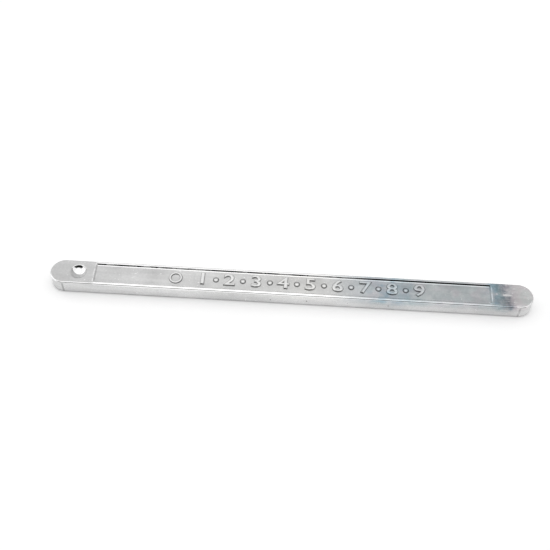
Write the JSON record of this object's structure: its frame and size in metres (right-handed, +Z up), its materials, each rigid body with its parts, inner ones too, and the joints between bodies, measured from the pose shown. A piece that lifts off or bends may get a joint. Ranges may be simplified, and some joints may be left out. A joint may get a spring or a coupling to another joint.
{
  "type": "solder bar",
  "caption": "Long cast bar of solder alloy with half-round ends, a shallow panel with raised marks along its cast face, a dimple near one end and a rounded pour face.",
  "frame": {"origin": "middle of the bar, on the surface that it lies on", "axes": "+X along the bar, away from its dimple; +Z up, out of the cast face; +Y across the bar"},
  "size_m": [0.322, 0.0196, 0.0106],
  "materials": {
    "solder": "as-cast, bright, with blue and straw oxide tints towards one end"
  },
  "bodies": {
    "root": {"solder_bar": "solder"}
  },
  "joints": []
}
